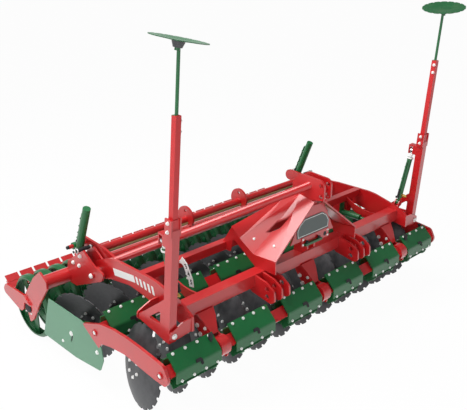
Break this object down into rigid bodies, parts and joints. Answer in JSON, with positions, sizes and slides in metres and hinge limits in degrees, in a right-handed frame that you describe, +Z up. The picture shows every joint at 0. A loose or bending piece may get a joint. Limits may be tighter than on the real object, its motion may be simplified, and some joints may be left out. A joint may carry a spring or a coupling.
{
  "type": "mounted compact disc harrow with ring roller",
  "caption": "Red and green three-point mounted disc harrow with notched discs, ring roller, headstock and raised track markers.",
  "frame": {"origin": "on the ground under the middle of the machine's bounding box", "axes": "+X across the working width, +Y to the rear, +Z up"},
  "size_m": [3.016, 2.149, 2.4127],
  "materials": {
    "red_paint": "gloss powder coat",
    "green_paint": "gloss powder coat",
    "pale_green_paint": "satin powder coat",
    "dark_green_paint": "gloss powder coat",
    "disc_steel": "dark hardened steel",
    "rod_chrome": "hard chrome",
    "black_rubber": "matt",
    "scale_paint": "satin",
    "sign_grey": "satin, blank"
  },
  "bodies": {
    "main_frame": {"front_beam": "red_paint", "rear_beam": "red_paint", "arch_plates": "red_paint", "headstock": "red_paint", "top_link_tower": "red_paint", "hitch_plates": "red_paint", "rear_cross_tubes": "red_paint", "gang_brackets": "red_paint", "gang_tube_front": "red_paint", "gang_tube_rear": "red_paint", "clamps_front": "green_paint", "clamps_rear": "green_paint", "clamp_cushions": "black_rubber", "disc_arms_front": "green_paint", "disc_arms_rear": "green_paint", "outer_arms": "red_paint", "side_deflectors": "pale_green_paint", "marker_brackets": "red_paint", "depth_scale": "scale_paint", "sign_plate": "sign_grey", "levelling_cylinder": "green_paint"},
    "disc_front_1": {"disc_front_1": "disc_steel"},
    "disc_front_2": {"disc_front_2": "disc_steel"},
    "disc_front_3": {"disc_front_3": "disc_steel"},
    "disc_front_4": {"disc_front_4": "disc_steel"},
    "disc_front_5": {"disc_front_5": "disc_steel"},
    "disc_front_6": {"disc_front_6": "disc_steel"},
    "disc_front_7": {"disc_front_7": "disc_steel"},
    "disc_front_8": {"disc_front_8": "disc_steel"},
    "disc_front_9": {"disc_front_9": "disc_steel"},
    "disc_front_10": {"disc_front_10": "disc_steel"},
    "disc_front_11": {"disc_front_11": "disc_steel"},
    "disc_front_12": {"disc_front_12": "disc_steel"},
    "disc_rear_1": {"disc_rear_1": "disc_steel"},
    "disc_rear_2": {"disc_rear_2": "disc_steel"},
    "disc_rear_3": {"disc_rear_3": "disc_steel"},
    "disc_rear_4": {"disc_rear_4": "disc_steel"},
    "disc_rear_5": {"disc_rear_5": "disc_steel"},
    "disc_rear_6": {"disc_rear_6": "disc_steel"},
    "disc_rear_7": {"disc_rear_7": "disc_steel"},
    "disc_rear_8": {"disc_rear_8": "disc_steel"},
    "disc_rear_9": {"disc_rear_9": "disc_steel"},
    "disc_rear_10": {"disc_rear_10": "disc_steel"},
    "disc_rear_11": {"disc_rear_11": "disc_steel"},
    "disc_rear_12": {"disc_rear_12": "disc_steel"},
    "roller_arms": {"roller_frame": "red_paint", "scrapers": "red_paint"},
    "roller": {"roller": "dark_green_paint"},
    "roller_barrels": {"roller_barrels": "green_paint"},
    "roller_rods": {"roller_rods": "rod_chrome"},
    "marker_left": {"marker_mast_left": "red_paint", "marker_arm_left": "red_paint"},
    "marker_disc_left": {"marker_disc_left": "dark_green_paint"},
    "marker_barrel_left": {"marker_barrel_left": "green_paint"},
    "marker_rod_left": {"marker_rod_left": "rod_chrome"},
    "marker_right": {"marker_mast_right": "red_paint", "marker_arm_right": "red_paint"},
    "marker_disc_right": {"marker_disc_right": "dark_green_paint"},
    "marker_barrel_right": {"marker_barrel_right": "green_paint"},
    "marker_rod_right": {"marker_rod_right": "rod_chrome"}
  },
  "joints": [
    {"name": "disc_front_1_spin", "type": "hinge", "parent": "main_frame", "child": "disc_front_1", "pos_m": [-1.369, -0.5287, 0.27577], "axis": [0.9512, -0.2478, -0.184], "continuous": true},
    {"name": "disc_front_2_spin", "type": "hinge", "parent": "main_frame", "child": "disc_front_2", "pos_m": [-1.119, -0.5287, 0.27577], "axis": [0.9512, -0.2478, -0.184], "continuous": true},
    {"name": "disc_front_3_spin", "type": "hinge", "parent": "main_frame", "child": "disc_front_3", "pos_m": [-0.869, -0.5287, 0.27577], "axis": [0.9512, -0.2478, -0.184], "continuous": true},
    {"name": "disc_front_4_spin", "type": "hinge", "parent": "main_frame", "child": "disc_front_4", "pos_m": [-0.619, -0.5287, 0.27577], "axis": [0.9512, -0.2478, -0.184], "continuous": true},
    {"name": "disc_front_5_spin", "type": "hinge", "parent": "main_frame", "child": "disc_front_5", "pos_m": [-0.369, -0.5287, 0.27577], "axis": [0.9512, -0.2478, -0.184], "continuous": true},
    {"name": "disc_front_6_spin", "type": "hinge", "parent": "main_frame", "child": "disc_front_6", "pos_m": [-0.119, -0.5287, 0.27577], "axis": [0.9512, -0.2478, -0.184], "continuous": true},
    {"name": "disc_front_7_spin", "type": "hinge", "parent": "main_frame", "child": "disc_front_7", "pos_m": [0.131, -0.5287, 0.27577], "axis": [0.9512, -0.2478, -0.184], "continuous": true},
    {"name": "disc_front_8_spin", "type": "hinge", "parent": "main_frame", "child": "disc_front_8", "pos_m": [0.381, -0.5287, 0.27577], "axis": [0.9512, -0.2478, -0.184], "continuous": true},
    {"name": "disc_front_9_spin", "type": "hinge", "parent": "main_frame", "child": "disc_front_9", "pos_m": [0.631, -0.5287, 0.27577], "axis": [0.9512, -0.2478, -0.184], "continuous": true},
    {"name": "disc_front_10_spin", "type": "hinge", "parent": "main_frame", "child": "disc_front_10", "pos_m": [0.881, -0.5287, 0.27577], "axis": [0.9512, -0.2478, -0.184], "continuous": true},
    {"name": "disc_front_11_spin", "type": "hinge", "parent": "main_frame", "child": "disc_front_11", "pos_m": [1.131, -0.5287, 0.27577], "axis": [0.9512, -0.2478, -0.184], "continuous": true},
    {"name": "disc_front_12_spin", "type": "hinge", "parent": "main_frame", "child": "disc_front_12", "pos_m": [1.381, -0.5287, 0.27577], "axis": [0.9512, -0.2478, -0.184], "continuous": true},
    {"name": "disc_rear_1_spin", "type": "hinge", "parent": "main_frame", "child": "disc_rear_1", "pos_m": [-1.359, 0.1613, 0.27577], "axis": [-0.9512, -0.2478, -0.184], "continuous": true},
    {"name": "disc_rear_2_spin", "type": "hinge", "parent": "main_frame", "child": "disc_rear_2", "pos_m": [-1.109, 0.1613, 0.27577], "axis": [-0.9512, -0.2478, -0.184], "continuous": true},
    {"name": "disc_rear_3_spin", "type": "hinge", "parent": "main_frame", "child": "disc_rear_3", "pos_m": [-0.859, 0.1613, 0.27577], "axis": [-0.9512, -0.2478, -0.184], "continuous": true},
    {"name": "disc_rear_4_spin", "type": "hinge", "parent": "main_frame", "child": "disc_rear_4", "pos_m": [-0.609, 0.1613, 0.27577], "axis": [-0.9512, -0.2478, -0.184], "continuous": true},
    {"name": "disc_rear_5_spin", "type": "hinge", "parent": "main_frame", "child": "disc_rear_5", "pos_m": [-0.359, 0.1613, 0.27577], "axis": [-0.9512, -0.2478, -0.184], "continuous": true},
    {"name": "disc_rear_6_spin", "type": "hinge", "parent": "main_frame", "child": "disc_rear_6", "pos_m": [-0.109, 0.1613, 0.27577], "axis": [-0.9512, -0.2478, -0.184], "continuous": true},
    {"name": "disc_rear_7_spin", "type": "hinge", "parent": "main_frame", "child": "disc_rear_7", "pos_m": [0.141, 0.1613, 0.27577], "axis": [-0.9512, -0.2478, -0.184], "continuous": true},
    {"name": "disc_rear_8_spin", "type": "hinge", "parent": "main_frame", "child": "disc_rear_8", "pos_m": [0.391, 0.1613, 0.27577], "axis": [-0.9512, -0.2478, -0.184], "continuous": true},
    {"name": "disc_rear_9_spin", "type": "hinge", "parent": "main_frame", "child": "disc_rear_9", "pos_m": [0.641, 0.1613, 0.27577], "axis": [-0.9512, -0.2478, -0.184], "continuous": true},
    {"name": "disc_rear_10_spin", "type": "hinge", "parent": "main_frame", "child": "disc_rear_10", "pos_m": [0.891, 0.1613, 0.27577], "axis": [-0.9512, -0.2478, -0.184], "continuous": true},
    {"name": "disc_rear_11_spin", "type": "hinge", "parent": "main_frame", "child": "disc_rear_11", "pos_m": [1.141, 0.1613, 0.27577], "axis": [-0.9512, -0.2478, -0.184], "continuous": true},
    {"name": "disc_rear_12_spin", "type": "hinge", "parent": "main_frame", "child": "disc_rear_12", "pos_m": [1.391, 0.1613, 0.27577], "axis": [-0.9512, -0.2478, -0.184], "continuous": true},
    {"name": "roller_lift", "type": "hinge", "parent": "main_frame", "child": "roller_arms", "pos_m": [0, 0.1563, 0.643], "axis": [1, 0, 0], "range_deg": [0, 12]},
    {"name": "roller_spin", "type": "hinge", "parent": "roller_arms", "child": "roller", "pos_m": [0, 0.7193, 0.25], "axis": [1, 0, 0], "continuous": true},
    {"name": "roller_cylinder_swing", "type": "hinge", "parent": "main_frame", "child": "roller_barrels", "pos_m": [0, 0.4293, 0.775], "axis": [1, 0, 0], "range_deg": [0, 14.26]},
    {"name": "roller_rod_slide", "type": "slide", "parent": "roller_barrels", "child": "roller_rods", "axis": [0, 0.375, -0.927], "range_m": [-0.0667, 0]},
    {"name": "marker_left_fold", "type": "hinge", "parent": "main_frame", "child": "marker_left", "pos_m": [-1.34, -0.7857, 0.617], "axis": [0, -0.9973, -0.0732], "range_deg": [0, 104]},
    {"name": "marker_disc_left_spin", "type": "hinge", "parent": "marker_left", "child": "marker_disc_left", "pos_m": [-1.30914, -0.91517, 2.37998], "axis": [0.1908, -0.0719, 0.979], "continuous": true},
    {"name": "marker_left_cylinder_swing", "type": "hinge", "parent": "main_frame", "child": "marker_barrel_left", "pos_m": [-1.235, -0.71911, 0.7753], "axis": [0, -0.9973, -0.0732], "range_deg": [0, 101.71]},
    {"name": "marker_left_rod_slide", "type": "slide", "parent": "marker_barrel_left", "child": "marker_rod_left", "axis": [-0.2074, -0.0716, 0.9756], "range_m": [0, 0.2925]},
    {"name": "marker_right_fold", "type": "hinge", "parent": "main_frame", "child": "marker_right", "pos_m": [1.34, -0.7857, 0.617], "axis": [0, 0.9973, 0.0732], "range_deg": [0, 104]},
    {"name": "marker_disc_right_spin", "type": "hinge", "parent": "marker_right", "child": "marker_disc_right", "pos_m": [1.30914, -0.91517, 2.37998], "axis": [-0.1908, -0.0719, 0.979], "continuous": true},
    {"name": "marker_right_cylinder_swing", "type": "hinge", "parent": "main_frame", "child": "marker_barrel_right", "pos_m": [1.235, -0.71911, 0.7753], "axis": [0, 0.9973, 0.0732], "range_deg": [0, 101.71]},
    {"name": "marker_right_rod_slide", "type": "slide", "parent": "marker_barrel_right", "child": "marker_rod_right", "axis": [0.2074, -0.0716, 0.9756], "range_m": [0, 0.2925]}
  ],
  "couplings": [
    {"joint": "roller_cylinder_swing", "follows": "roller_lift", "ratio": 1.1469},
    {"joint": "roller_rod_slide", "follows": "roller_lift", "m_per_rad": -0.30896},
    {"joint": "marker_left_cylinder_swing", "follows": "marker_left_fold", "ratio": 0.96833},
    {"joint": "marker_left_rod_slide", "follows": "marker_left_fold", "m_per_rad": 0.16006},
    {"joint": "marker_right_cylinder_swing", "follows": "marker_right_fold", "ratio": 0.96833},
    {"joint": "marker_right_rod_slide", "follows": "marker_right_fold", "m_per_rad": 0.16006}
  ]
}
